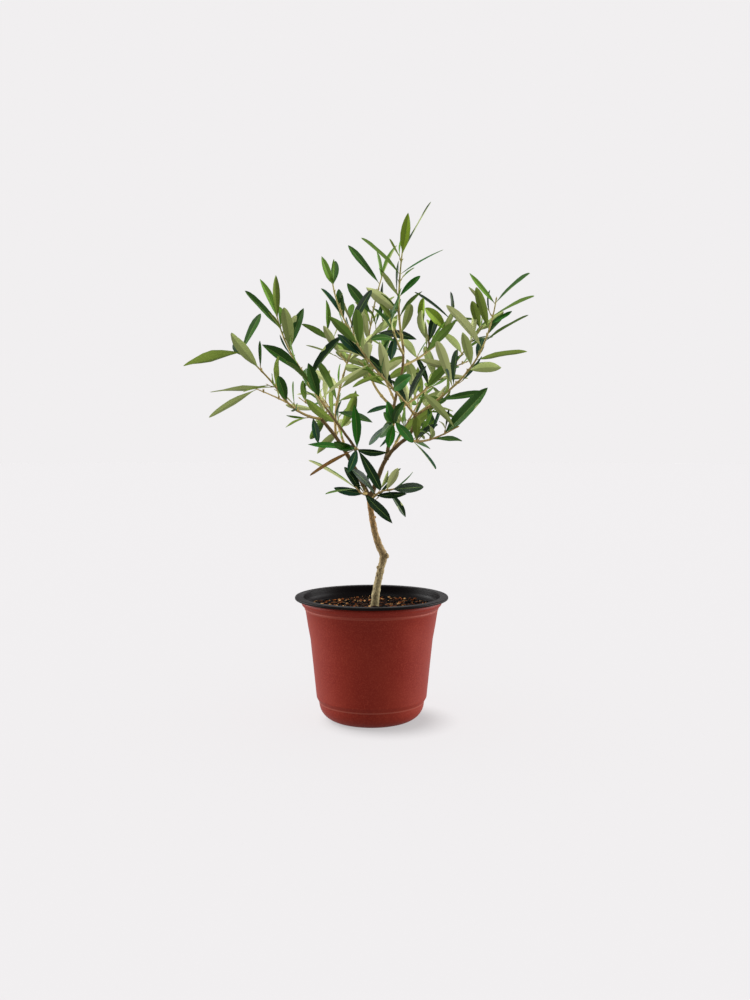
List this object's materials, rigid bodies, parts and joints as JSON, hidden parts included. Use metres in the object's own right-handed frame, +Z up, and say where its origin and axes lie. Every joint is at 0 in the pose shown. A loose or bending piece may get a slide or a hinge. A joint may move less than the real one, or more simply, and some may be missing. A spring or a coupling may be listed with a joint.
{
  "type": "potted olive tree",
  "caption": "Young olive tree with a slender bent trunk, forked boughs and an open leafy crown, in a tapered round plastic nursery pot with a rolled rim.",
  "frame": {"origin": "centre of the pot's flat underside, on the surface it stands on", "axes": "+Z up, +X to the right and +Y away from someone who faces the plant as in the picture"},
  "size_m": [0.3187, 0.2515, 0.5008],
  "materials": {
    "pot_red": "brick red moulded plastic with a fine matte grain",
    "pot_black": "black moulded plastic, satin on the rolled rim",
    "soil": "coarse brown potting mix with dark and pale grains",
    "bark": "smooth grey-tan young bark, browner on the boughs",
    "foliage": "narrow leathery leaves, dark green above and pale olive below"
  },
  "bodies": {
    "root": {"pot_wall": "pot_red", "pot_lining": "pot_black", "soil": "soil", "trunk": "bark", "left_bough": "bark", "right_bough": "bark", "leader_bough": "bark", "upper_left_bough": "bark", "foliage_left_low": "foliage", "foliage_left_upper": "foliage", "foliage_left_front": "foliage", "foliage_inner_left": "foliage", "foliage_crossing": "foliage", "foliage_top": "foliage", "foliage_middle_front": "foliage", "foliage_rear_centre": "foliage", "foliage_right_upper": "foliage", "foliage_right_inner": "foliage", "foliage_right_rear": "foliage", "foliage_right_low": "foliage", "foliage_fork_left": "foliage", "foliage_fork_right": "foliage", "foliage_back_left": "foliage", "foliage_back_right": "foliage", "foliage_leader_front": "foliage", "foliage_back_top": "foliage"}
  },
  "joints": []
}
